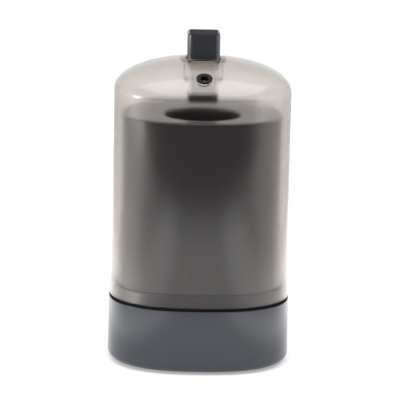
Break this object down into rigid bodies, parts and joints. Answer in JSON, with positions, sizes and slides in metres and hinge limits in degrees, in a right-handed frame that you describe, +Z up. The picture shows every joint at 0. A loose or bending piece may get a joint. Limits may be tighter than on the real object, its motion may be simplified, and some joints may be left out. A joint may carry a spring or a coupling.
{
  "type": "toothpick dispenser",
  "caption": "Table-top dispenser for toothpicks: a dark bin under a smoky domed cover, with a sprung push button on top and a small outlet hole in the front of the dome.",
  "frame": {"origin": "on the table under the middle of the body", "axes": "+Z up, -Y is the front with the outlet hole, +X to the right seen from the front"},
  "size_m": [0.0662, 0.057, 0.12],
  "materials": {
    "base_plastic": "blue-grey moulded plastic, satin gloss",
    "foot_rubber": "matt black rubber",
    "tray_plastic": "dark moulded plastic, fine matt",
    "bin_plastic": "near-black moulded plastic, satin",
    "smoky_plastic": "see-through smoky warm-grey plastic, polished",
    "milky_plastic": "natural milky plastic",
    "spring_steel": "bright spring wire and zinc-plated screw",
    "button_plastic": "dark blue-grey moulded plastic, satin gloss",
    "plunger_plastic": "dark moulded plastic, fine matt"
  },
  "bodies": {
    "base": {"base_cup": "base_plastic", "base_feet": "foot_rubber", "base_tray": "tray_plastic", "hopper": "bin_plastic"},
    "cover": {"cover": "smoky_plastic", "outlet_bush": "plunger_plastic", "guide_sleeve": "milky_plastic", "return_spring": "spring_steel"},
    "plunger": {"button_cap": "button_plastic", "plunger_stem": "plunger_plastic", "plunger_foot": "plunger_plastic", "foot_screw": "spring_steel"}
  },
  "joints": [
    {"name": "cover_lift", "type": "slide", "parent": "base", "child": "cover", "axis": [0, 0, 1], "range_m": [0, 0.075]},
    {"name": "button_press", "type": "slide", "parent": "cover", "child": "plunger", "axis": [0, 0, -1], "range_m": [0, 0.0055], "stiffness_N_per_m": 200, "springref_m": -0.004, "deforming": ["return_spring"]}
  ]
}
